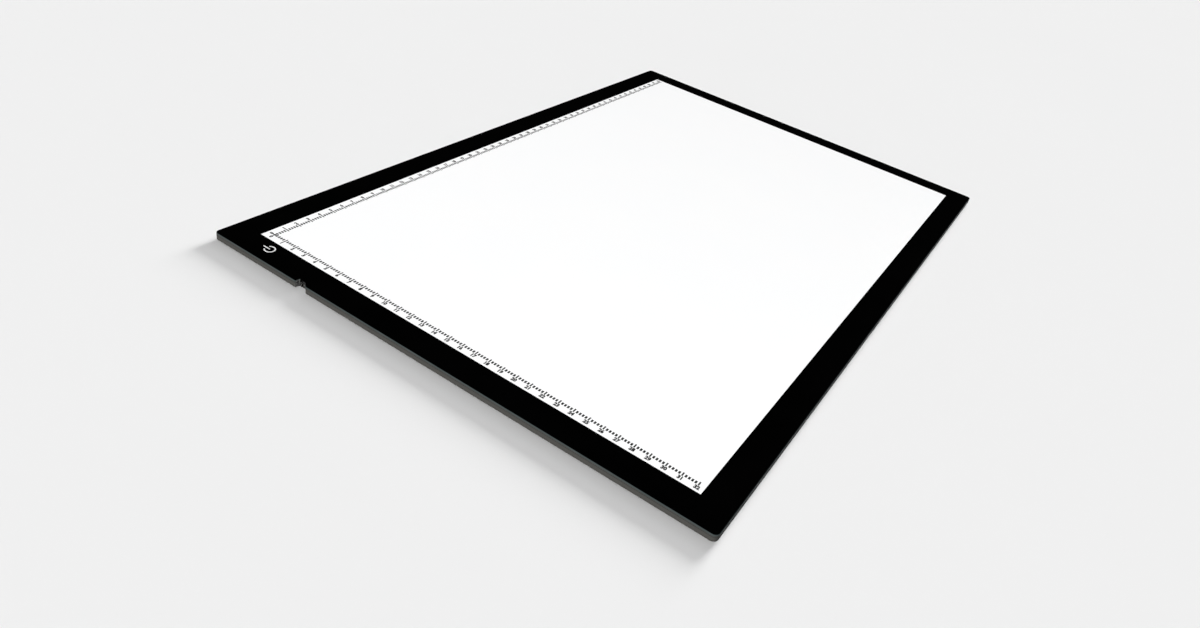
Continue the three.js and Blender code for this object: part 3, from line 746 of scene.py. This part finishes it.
def cover_tray():
    """The back cover: a shallow tray with a chamfer along its lower edge."""
    chamfer = 0.8 * MM
    # The chamfer's section as shares of its size: inset and rise, from the wall to the underside.
    chamfer_section = [(0, 1.2), (0.06, 0.98), (0.98, 0.06), (1.2, 0)]
    outside = plan_corners()
    inside = plan_corners(notch_grow=NOTCH_WALL - WALL_T)
    stations = [
        (inside, WALL_T, FLOOR_Z),
        (inside, WALL_T, COVER_HIGH.z),
        (outside, SEAM_EASE, COVER_HIGH.z),
        (outside, 0.0, COVER_HIGH.z - SEAM_EASE),
    ]
    stations += [(outside, i * chamfer, COVER_LOW.z + r * chamfer) for i, r in chamfer_section]
    bm = bmesh.new()
    rings = [add_ring(bm, rounded(drawn_in(plan, inset)), z) for plan, inset, z in stations]
    bridge(bm, rings)
    fill(bm, rings[0])
    fill(bm, rings[-1])
    mesh = carved(to_mesh(bm, "cover_tray"), tray_cutters())
    mesh.name = "cover_tray"
    mesh.materials.clear()
    # faces on the notch's square side take the paler painted light
    for face in mesh.polygons:
        face.material_index = int(on_notch_side(face.center))
    materials = [MATERIALS["cover_plastic"], NOTCH_SIDE_PAINTED_LIGHT]
    weight_normals(add_piece("cover_tray", mesh, materials, ["back_cover"]))


# ---- Screws and feet ----


def cross_recess(reach, half_width, depth):
    """A cross driver's recess: a plus that narrows as it goes in, from below z = 0 upwards."""
    mouth, end = (-0.2 * depth, 1.05), (depth, 0.55)  # height, and share of the plus's size
    bm = bmesh.new()
    rings = []
    for z, scale in (mouth, end):
        a, b = reach * scale, half_width * scale
        quarter = [(a, -b), (a, b), (b, b)]
        plus = []
        for turn in range(4):
            for point in quarter:
                plus.append(Matrix.Rotation(turn * math.pi / 2, 2) @ Vector(point))
        rings.append(add_ring(bm, plus, z))
    bridge(bm, rings)
    for ring in rings:
        bm.faces.new(ring)
    return to_mesh(bm, "cross_recess")


def cover_screw(head_r, length):
    """A self-tapping screw, head down on z = 0, with a blunt tip."""
    tip_length = 0.5 * MM
    tip_r = 0.4 * SHAFT_R
    dome = [(0.55, 0.0), (0.82, 0.12), (0.96, 0.35), (1.0, 0.6)]  # shares of head radius and height
    profile = [(0, 0)] + [(r * head_r, h * HEAD_T) for r, h in dome] + [(head_r, HEAD_T)]
    profile += [(SHAFT_R, HEAD_T), (SHAFT_R, length - tip_length), (tip_r, length), (0, length)]
    bm = bmesh.new()
    turned(bm, profile, ROUND_SIDES)
    recess = cross_recess(reach=0.62 * head_r, half_width=0.14 * head_r, depth=0.7 * HEAD_T)
    return carved(to_mesh(bm, "screw"), recess)


def cover_screws():
    low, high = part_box(SCREWS[0])
    screw = cover_screw((high.x - low.x) / 2, high.z - low.z)
    screw.materials.clear()
    for node in SCREWS:
        mid = middle_of(node)
        place = (mid.x, mid.y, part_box(node)[0].z)
        name = node.replace("cover_screw", "tapping_screw")
        add_piece(name, screw.copy(), [MATERIALS["steel"]], [node], place)


def feet():
    low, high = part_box(FEET[0])
    radius, height = (high.x - low.x) / 2, high.z - low.z
    # The side's section: radius as a share of the foot's, height as a share of its thickness.
    side = [(0.82, 0.0), (0.9, 0.05), (0.96, 0.2), (0.99, 0.42), (1.0, 0.65), (1.0, 1.0)]
    for node in FEET:
        bm = bmesh.new()
        profile = [(0, 0)] + [(r * radius, h * height) for r, h in side] + [(0, height)]
        turned(bm, profile, FOOT_SIDES)
        mid = middle_of(node)
        name = node.replace("rubber_foot", "foot_pad")
        mesh = to_mesh(bm, name)
        add_piece(name, mesh, [MATERIALS["rubber"]], [node], (mid.x, mid.y, low.z))


# ---- Power jack ----

INTO_HOUSING = Matrix.Rotation(math.pi / 2, 4, "Y")  # turns a body's own +Z to point along +X


def jack():
    """The jack's moulded body with its bore, and the nickel sleeve round its mouth."""
    low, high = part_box("power_jack_body")
    sleeve_low, sleeve_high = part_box("power_jack_sleeve")
    axis = (low.x, (low.y + high.y) / 2, (low.z + high.z) / 2)
    half_width, half_height = (high.y - low.y) / 2, (high.z - low.z) / 2
    sleeve_r = (sleeve_high.y - sleeve_low.y) / 2
    sleeve_length = sleeve_high.x - sleeve_low.x
    sleeve_t = 0.25 * MM
    bore_r = sleeve_r - sleeve_t
    bore_depth = 7 * MM
    fit = 0.05 * MM

    body = bmesh.new()
    block(body, (-half_height, -half_width, 0), (half_height, half_width, high.x - low.x))
    bore = bmesh.new()
    mouth = -1 * MM
    seat_r, seat_end = sleeve_r + fit, sleeve_length + fit
    turned(bore, [(0, mouth), (seat_r, mouth), (seat_r, seat_end), (bore_r, seat_end),
                  (bore_r, bore_depth), (0, bore_depth)], ROUND_SIDES)
    mesh = carved(to_mesh(body, "jack_body"), to_mesh(bore, "jack_bore"))
    mesh.materials.clear()
    mesh.transform(INTO_HOUSING)
    add_piece("jack_body", mesh, [MATERIALS["chip"]], ["power_jack_body"], axis)

    ring = bmesh.new()
    lip = 0.08 * MM
    turned(ring, [(bore_r, lip), (bore_r + lip, 0), (sleeve_r - lip, 0), (sleeve_r, lip),
                  (sleeve_r, sleeve_length), (bore_r, sleeve_length)], ROUND_SIDES)
    mesh = to_mesh(ring, "jack_sleeve")
    mesh.transform(INTO_HOUSING)
    add_piece("jack_sleeve", mesh, [MATERIALS["nickel"]], ["power_jack_sleeve"], axis)


# ---- The CAD parts that stay ----


def finish_cad_nodes():
    """Every CAD node gets its slot's material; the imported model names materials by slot."""
    for node in frame["nodes"].values():
        for material_slot in node.material_slots:
            material_slot.material = MATERIALS[material_slot.material.name]


# ---- Camera, floor and light ----

CAMERA_AIM = Vector((-0.1599, -0.0355, 0.0))  # the point on the table that the camera looks at
CAMERA_DISTANCE = 0.5760
CAMERA_BEARING = math.radians(25.66)  # of its line of sight, from +X towards +Y
CAMERA_DOWN = math.radians(33.82)
CAMERA_ROLL = math.radians(13.02)
CAMERA_LENS = 26.13  # on a 36 mm sensor

FLOOR_WHITE = 0.8  # the floor's reflectance
FLOOR_MOTTLE = 0.995  # its darkest patches, as a share of that
FLOOR_PATCH = 0.5  # how large the patches are
FLOOR_SPAN = 60.0
FLOOR_TONE = 0.871  # how bright the lit floor looks
BACKDROP_R = 0.48 * FLOOR_SPAN  # just inside the floor's edges
BACKDROP_HEIGHT = 40.0
BACKDROP_SIDES = 96


def direction(bearing, elevation):
    flat = math.cos(elevation)
    return Vector((flat * math.cos(bearing), flat * math.sin(bearing), math.sin(elevation)))


def add_camera():
    forward = direction(CAMERA_BEARING, -CAMERA_DOWN)
    level = forward.cross(Vector((0, 0, 1))).normalized()
    right = Matrix.Rotation(-CAMERA_ROLL, 3, forward) @ level
    up = right.cross(forward)
    data = bpy.data.cameras.new("camera")
    data.sensor_width = 36
    data.lens = CAMERA_LENS
    data.clip_start = 0.01
    data.clip_end = 2 * FLOOR_SPAN
    camera = bpy.data.objects.new("camera", data)
    camera.rotation_mode = "QUATERNION"
    camera.location = CAMERA_AIM - forward * CAMERA_DISTANCE
    camera.rotation_quaternion = Matrix((right, up, -forward)).transposed().to_quaternion()
    bpy.context.scene.collection.objects.link(camera)
    bpy.context.scene.camera = camera


def add_stage(name, bm, material):
    """Puts a mesh into the scene as part of the studio, not of the object."""
    mesh = bpy.data.meshes.new(name)
    bm.to_mesh(mesh)
    bm.free()
    mesh.materials.append(material)
    obj = bpy.data.objects.new(name, mesh)
    bpy.context.scene.collection.objects.link(obj)
    return obj


def add_floor():
    finish = Finish("pale_floor", Specular_IOR_Level=0.0, Roughness=1.0)
    dark, pale = grey(FLOOR_WHITE * FLOOR_MOTTLE), grey(FLOOR_WHITE)
    finish.colour(finish.noise(FLOOR_PATCH), dark, pale)
    bm = bmesh.new()
    bmesh.ops.create_grid(bm, x_segments=1, y_segments=1, size=FLOOR_SPAN / 2)
    add_stage("floor", bm, finish.material)


def add_backdrop():
    """A far round wall as pale as the floor. It neither lights the scene nor shows in gloss."""
    finish = Finish(
        "pale_backdrop", Base_Color=(0, 0, 0, 1), Specular_IOR_Level=0.0,
        Emission_Color=(*grey(FLOOR_TONE), 1), Emission_Strength=1.0,
    )
    bm = bmesh.new()
    bmesh.ops.create_cone(
        bm, segments=BACKDROP_SIDES, radius1=BACKDROP_R, radius2=BACKDROP_R,
        depth=2 * BACKDROP_HEIGHT,
    )
    wall = add_stage("backdrop", bm, finish.material)
    wall.visible_diffuse = wall.visible_glossy = wall.visible_transmission = False
    wall.visible_shadow = wall.visible_volume_scatter = False


def add_sun(name, bearing, elevation, spread, strength, shadow=True):
    """A far soft light, so that the whole floor is lit alike. Angles are in degrees."""
    data = bpy.data.lights.new(name, "SUN")
    data.energy = strength
    data.angle = math.radians(spread)
    data.use_shadow = shadow
    lamp = bpy.data.objects.new(name, data)
    lamp.rotation_mode = "QUATERNION"
    towards = direction(math.radians(bearing), math.radians(elevation))
    lamp.rotation_quaternion = towards.to_track_quat("Z", "Y")
    bpy.context.scene.collection.objects.link(lamp)
    return lamp


def add_world():
    """A studio that is dim up to a certain elevation and brighter overhead."""
    dim_up_to = math.radians(45)
    dim, bright = 0.003, 0.45
    world = bpy.data.worlds.new("studio")
    world.use_nodes = True
    tree = world.node_tree
    background = next(n for n in tree.nodes if n.type == "BACKGROUND")
    place = tree.nodes.new("ShaderNodeTexCoord")
    parts = tree.nodes.new("ShaderNodeSeparateXYZ")
    ramp = tree.nodes.new("ShaderNodeMapRange")
    ramp.interpolation_type = "SMOOTHSTEP"
    ramp.inputs["From Min"].default_value = math.sin(dim_up_to)
    ramp.inputs["From Max"].default_value = 1.0
    ramp.inputs["To Min"].default_value = dim
    ramp.inputs["To Max"].default_value = bright
    tree.links.new(place.outputs["Generated"], parts.inputs["Vector"])
    tree.links.new(parts.outputs["Z"], ramp.inputs["Value"])
    tree.links.new(ramp.outputs["Result"], background.inputs["Strength"])
    background.inputs["Color"].default_value = (1, 1, 1, 1)
    bpy.context.scene.world = world


def light_studio():
    """Soft light from the right and the left. The light from the left leaves no shadow."""
    lamps = [
        add_sun("high_key", bearing=5, elevation=45, spread=30, strength=0.5),
        add_sun("low_key", bearing=-2, elevation=16, spread=20, strength=4.5),
        add_sun("fill_light", bearing=180, elevation=10, spread=14, strength=8.4, shadow=False),
    ]
    for lamp in lamps:
        lamp.visible_glossy = False
    add_world()
    bpy.context.scene.view_settings.view_transform = "Standard"


finish_cad_nodes()
front_panel()
ruler("ruler_long", RULER_CM["long"], 0.0, -1)
ruler("ruler_short", RULER_CM["short"], -math.pi / 2, 1)
power_mark()
cover_tray()
cover_screws()
feet()
jack()
add_camera()
add_floor()
add_backdrop()
light_studio()
